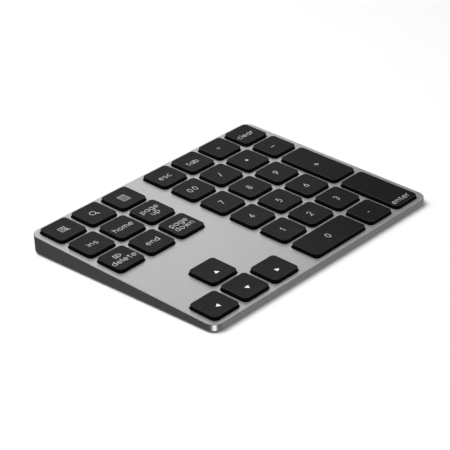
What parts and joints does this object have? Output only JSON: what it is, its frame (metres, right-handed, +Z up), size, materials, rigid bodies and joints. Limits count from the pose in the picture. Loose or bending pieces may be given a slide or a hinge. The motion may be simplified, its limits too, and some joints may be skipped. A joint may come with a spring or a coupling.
{
  "type": "numeric keypad",
  "caption": "Slim wedge-shaped numeric keypad with a navigation block, low-profile keys in an aluminium housing, rear port, slide switch and push button.",
  "frame": {"origin": "on the surface that the feet stand on, under the middle of the keypad's box", "axes": "+X to the typist's right along the longest side, +Y towards the rear edge with the port, +Z up and across the shortest extent"},
  "size_m": [0.146, 0.1128, 0.0112],
  "materials": {
    "housing_aluminium": "fine bead-blasted and anodised, silver grey",
    "keycap_plastic": "fine matt texture",
    "cover_plastic": "smooth, half gloss",
    "foot_rubber": "matt",
    "dome_rubber": "matt",
    "film": "thin printed polyester film",
    "steel": "plated",
    "board": "solder mask",
    "battery_foil": "dull foil pouch",
    "control_plastic": "smooth moulded",
    "switch_plastic": "moulded",
    "window_plastic": "milky diffuser"
  },
  "bodies": {
    "housing": {"top_housing": "housing_aluminium", "bottom_cover": "cover_plastic", "foot_front_left": "foot_rubber", "foot_front_right": "foot_rubber", "foot_rear_left": "foot_rubber", "foot_rear_right": "foot_rubber", "key_support_plate": "steel", "membrane_sheet": "film", "dome_sheet": "dome_rubber", "membrane_tail": "film", "plate_screw_rear_left": "steel", "plate_screw_rear_right": "steel", "plate_screw_front_left": "steel", "plate_screw_front_right": "steel", "main_board": "board", "battery": "battery_foil", "usb_port_shell": "steel", "usb_port_tongue": "switch_plastic", "power_switch_body": "switch_plastic", "pair_switch": "switch_plastic", "light_window": "window_plastic"},
    "power_slider": {"power_slider": "control_plastic"},
    "pair_button": {"pair_button": "control_plastic"},
    "key_capture": {"key_capture": "keycap_plastic"},
    "key_search": {"key_search": "keycap_plastic"},
    "key_calculator": {"key_calculator": "keycap_plastic"},
    "key_insert": {"key_insert": "keycap_plastic"},
    "key_home": {"key_home": "keycap_plastic"},
    "key_page_up": {"key_page_up": "keycap_plastic"},
    "key_delete": {"key_delete": "keycap_plastic"},
    "key_end": {"key_end": "keycap_plastic"},
    "key_page_down": {"key_page_down": "keycap_plastic"},
    "key_arrow_up": {"key_arrow_up": "keycap_plastic"},
    "key_arrow_left": {"key_arrow_left": "keycap_plastic"},
    "key_arrow_down": {"key_arrow_down": "keycap_plastic"},
    "key_arrow_right": {"key_arrow_right": "keycap_plastic"},
    "key_escape": {"key_escape": "keycap_plastic"},
    "key_tab": {"key_tab": "keycap_plastic"},
    "key_equals": {"key_equals": "keycap_plastic"},
    "key_clear": {"key_clear": "keycap_plastic"},
    "key_double_zero": {"key_double_zero": "keycap_plastic"},
    "key_divide": {"key_divide": "keycap_plastic"},
    "key_multiply": {"key_multiply": "keycap_plastic"},
    "key_minus": {"key_minus": "keycap_plastic"},
    "key_7": {"key_7": "keycap_plastic"},
    "key_8": {"key_8": "keycap_plastic"},
    "key_9": {"key_9": "keycap_plastic"},
    "key_plus": {"key_plus": "keycap_plastic"},
    "key_4": {"key_4": "keycap_plastic"},
    "key_5": {"key_5": "keycap_plastic"},
    "key_6": {"key_6": "keycap_plastic"},
    "key_1": {"key_1": "keycap_plastic"},
    "key_2": {"key_2": "keycap_plastic"},
    "key_3": {"key_3": "keycap_plastic"},
    "key_enter": {"key_enter": "keycap_plastic"},
    "key_0": {"key_0": "keycap_plastic"},
    "key_decimal": {"key_decimal": "keycap_plastic"},
    "stabiliser_wire_plus": {"stabiliser_wire_plus": "steel"},
    "stabiliser_wire_enter": {"stabiliser_wire_enter": "steel"},
    "stabiliser_wire_0": {"stabiliser_wire_0": "steel"}
  },
  "joints": [
    {"name": "power_slide", "type": "slide", "parent": "housing", "child": "power_slider", "axis": [1, 0, 0], "range_m": [0, 0.002]},
    {"name": "pair_press", "type": "slide", "parent": "housing", "child": "pair_button", "axis": [0, -1, 0], "range_m": [0, 0.0005], "stiffness_N_per_m": 800, "springref_m": -0.0005},
    {"name": "key_capture_press", "type": "slide", "parent": "housing", "child": "key_capture", "axis": [0, 0.0491, -0.9988], "range_m": [0, 0.0015], "stiffness_N_per_m": 300, "springref_m": -0.0005, "deforming": ["dome_sheet"]},
    {"name": "key_search_press", "type": "slide", "parent": "housing", "child": "key_search", "axis": [0, 0.0491, -0.9988], "range_m": [0, 0.0015], "stiffness_N_per_m": 300, "springref_m": -0.0005, "deforming": ["dome_sheet"]},
    {"name": "key_calculator_press", "type": "slide", "parent": "housing", "child": "key_calculator", "axis": [0, 0.0491, -0.9988], "range_m": [0, 0.0015], "stiffness_N_per_m": 300, "springref_m": -0.0005, "deforming": ["dome_sheet"]},
    {"name": "key_insert_press", "type": "slide", "parent": "housing", "child": "key_insert", "axis": [0, 0.0491, -0.9988], "range_m": [0, 0.0015], "stiffness_N_per_m": 300, "springref_m": -0.0005, "deforming": ["dome_sheet"]},
    {"name": "key_home_press", "type": "slide", "parent": "housing", "child": "key_home", "axis": [0, 0.0491, -0.9988], "range_m": [0, 0.0015], "stiffness_N_per_m": 300, "springref_m": -0.0005, "deforming": ["dome_sheet"]},
    {"name": "key_page_up_press", "type": "slide", "parent": "housing", "child": "key_page_up", "axis": [0, 0.0491, -0.9988], "range_m": [0, 0.0015], "stiffness_N_per_m": 300, "springref_m": -0.0005, "deforming": ["dome_sheet"]},
    {"name": "key_delete_press", "type": "slide", "parent": "housing", "child": "key_delete", "axis": [0, 0.0491, -0.9988], "range_m": [0, 0.0015], "stiffness_N_per_m": 300, "springref_m": -0.0005, "deforming": ["dome_sheet"]},
    {"name": "key_end_press", "type": "slide", "parent": "housing", "child": "key_end", "axis": [0, 0.0491, -0.9988], "range_m": [0, 0.0015], "stiffness_N_per_m": 300, "springref_m": -0.0005, "deforming": ["dome_sheet"]},
    {"name": "key_page_down_press", "type": "slide", "parent": "housing", "child": "key_page_down", "axis": [0, 0.0491, -0.9988], "range_m": [0, 0.0015], "stiffness_N_per_m": 300, "springref_m": -0.0005, "deforming": ["dome_sheet"]},
    {"name": "key_arrow_up_press", "type": "slide", "parent": "housing", "child": "key_arrow_up", "axis": [0, 0.0491, -0.9988], "range_m": [0, 0.0015], "stiffness_N_per_m": 300, "springref_m": -0.0005, "deforming": ["dome_sheet"]},
    {"name": "key_arrow_left_press", "type": "slide", "parent": "housing", "child": "key_arrow_left", "axis": [0, 0.0491, -0.9988], "range_m": [0, 0.0015], "stiffness_N_per_m": 300, "springref_m": -0.0005, "deforming": ["dome_sheet"]},
    {"name": "key_arrow_down_press", "type": "slide", "parent": "housing", "child": "key_arrow_down", "axis": [0, 0.0491, -0.9988], "range_m": [0, 0.0015], "stiffness_N_per_m": 300, "springref_m": -0.0005, "deforming": ["dome_sheet"]},
    {"name": "key_arrow_right_press", "type": "slide", "parent": "housing", "child": "key_arrow_right", "axis": [0, 0.0491, -0.9988], "range_m": [0, 0.0015], "stiffness_N_per_m": 300, "springref_m": -0.0005, "deforming": ["dome_sheet"]},
    {"name": "key_escape_press", "type": "slide", "parent": "housing", "child": "key_escape", "axis": [0, 0.0491, -0.9988], "range_m": [0, 0.0015], "stiffness_N_per_m": 300, "springref_m": -0.0005, "deforming": ["dome_sheet"]},
    {"name": "key_tab_press", "type": "slide", "parent": "housing", "child": "key_tab", "axis": [0, 0.0491, -0.9988], "range_m": [0, 0.0015], "stiffness_N_per_m": 300, "springref_m": -0.0005, "deforming": ["dome_sheet"]},
    {"name": "key_equals_press", "type": "slide", "parent": "housing", "child": "key_equals", "axis": [0, 0.0491, -0.9988], "range_m": [0, 0.0015], "stiffness_N_per_m": 300, "springref_m": -0.0005, "deforming": ["dome_sheet"]},
    {"name": "key_clear_press", "type": "slide", "parent": "housing", "child": "key_clear", "axis": [0, 0.0491, -0.9988], "range_m": [0, 0.0015], "stiffness_N_per_m": 300, "springref_m": -0.0005, "deforming": ["dome_sheet"]},
    {"name": "key_double_zero_press", "type": "slide", "parent": "housing", "child": "key_double_zero", "axis": [0, 0.0491, -0.9988], "range_m": [0, 0.0015], "stiffness_N_per_m": 300, "springref_m": -0.0005, "deforming": ["dome_sheet"]},
    {"name": "key_divide_press", "type": "slide", "parent": "housing", "child": "key_divide", "axis": [0, 0.0491, -0.9988], "range_m": [0, 0.0015], "stiffness_N_per_m": 300, "springref_m": -0.0005, "deforming": ["dome_sheet"]},
    {"name": "key_multiply_press", "type": "slide", "parent": "housing", "child": "key_multiply", "axis": [0, 0.0491, -0.9988], "range_m": [0, 0.0015], "stiffness_N_per_m": 300, "springref_m": -0.0005, "deforming": ["dome_sheet"]},
    {"name": "key_minus_press", "type": "slide", "parent": "housing", "child": "key_minus", "axis": [0, 0.0491, -0.9988], "range_m": [0, 0.0015], "stiffness_N_per_m": 300, "springref_m": -0.0005, "deforming": ["dome_sheet"]},
    {"name": "key_7_press", "type": "slide", "parent": "housing", "child": "key_7", "axis": [0, 0.0491, -0.9988], "range_m": [0, 0.0015], "stiffness_N_per_m": 300, "springref_m": -0.0005, "deforming": ["dome_sheet"]},
    {"name": "key_8_press", "type": "slide", "parent": "housing", "child": "key_8", "axis": [0, 0.0491, -0.9988], "range_m": [0, 0.0015], "stiffness_N_per_m": 300, "springref_m": -0.0005, "deforming": ["dome_sheet"]},
    {"name": "key_9_press", "type": "slide", "parent": "housing", "child": "key_9", "axis": [0, 0.0491, -0.9988], "range_m": [0, 0.0015], "stiffness_N_per_m": 300, "springref_m": -0.0005, "deforming": ["dome_sheet"]},
    {"name": "key_plus_press", "type": "slide", "parent": "housing", "child": "key_plus", "axis": [0, 0.0491, -0.9988], "range_m": [0, 0.0015], "stiffness_N_per_m": 300, "springref_m": -0.0005, "deforming": ["dome_sheet"]},
    {"name": "key_4_press", "type": "slide", "parent": "housing", "child": "key_4", "axis": [0, 0.0491, -0.9988], "range_m": [0, 0.0015], "stiffness_N_per_m": 300, "springref_m": -0.0005, "deforming": ["dome_sheet"]},
    {"name": "key_5_press", "type": "slide", "parent": "housing", "child": "key_5", "axis": [0, 0.0491, -0.9988], "range_m": [0, 0.0015], "stiffness_N_per_m": 300, "springref_m": -0.0005, "deforming": ["dome_sheet"]},
    {"name": "key_6_press", "type": "slide", "parent": "housing", "child": "key_6", "axis": [0, 0.0491, -0.9988], "range_m": [0, 0.0015], "stiffness_N_per_m": 300, "springref_m": -0.0005, "deforming": ["dome_sheet"]},
    {"name": "key_1_press", "type": "slide", "parent": "housing", "child": "key_1", "axis": [0, 0.0491, -0.9988], "range_m": [0, 0.0015], "stiffness_N_per_m": 300, "springref_m": -0.0005, "deforming": ["dome_sheet"]},
    {"name": "key_2_press", "type": "slide", "parent": "housing", "child": "key_2", "axis": [0, 0.0491, -0.9988], "range_m": [0, 0.0015], "stiffness_N_per_m": 300, "springref_m": -0.0005, "deforming": ["dome_sheet"]},
    {"name": "key_3_press", "type": "slide", "parent": "housing", "child": "key_3", "axis": [0, 0.0491, -0.9988], "range_m": [0, 0.0015], "stiffness_N_per_m": 300, "springref_m": -0.0005, "deforming": ["dome_sheet"]},
    {"name": "key_enter_press", "type": "slide", "parent": "housing", "child": "key_enter", "axis": [0, 0.0491, -0.9988], "range_m": [0, 0.0015], "stiffness_N_per_m": 300, "springref_m": -0.0005, "deforming": ["dome_sheet"]},
    {"name": "key_0_press", "type": "slide", "parent": "housing", "child": "key_0", "axis": [0, 0.0491, -0.9988], "range_m": [0, 0.0015], "stiffness_N_per_m": 300, "springref_m": -0.0005, "deforming": ["dome_sheet"]},
    {"name": "key_decimal_press", "type": "slide", "parent": "housing", "child": "key_decimal", "axis": [0, 0.0491, -0.9988], "range_m": [0, 0.0015], "stiffness_N_per_m": 300, "springref_m": -0.0005, "deforming": ["dome_sheet"]},
    {"name": "stabiliser_wire_plus_turn", "type": "hinge", "parent": "housing", "child": "stabiliser_wire_plus", "pos_m": [0.0611, -0.00015, 0.00541], "axis": [0, -0.9988, -0.0491], "range_deg": [0, 14.68]},
    {"name": "stabiliser_wire_enter_turn", "type": "hinge", "parent": "housing", "child": "stabiliser_wire_enter", "pos_m": [0.0611, -0.03681, 0.00361], "axis": [0, -0.9988, -0.0491], "range_deg": [0, 14.68]},
    {"name": "stabiliser_wire_0_turn", "type": "hinge", "parent": "housing", "child": "stabiliser_wire_0", "pos_m": [0.0133, -0.04567, 0.00317], "axis": [1, 0, 0], "range_deg": [0, 14.68]}
  ],
  "couplings": [
    {"joint": "stabiliser_wire_plus_turn", "follows": "key_plus_press", "rad_per_m": 170.26},
    {"joint": "stabiliser_wire_enter_turn", "follows": "key_enter_press", "rad_per_m": 170.26},
    {"joint": "stabiliser_wire_0_turn", "follows": "key_0_press", "rad_per_m": 170.26}
  ]
}
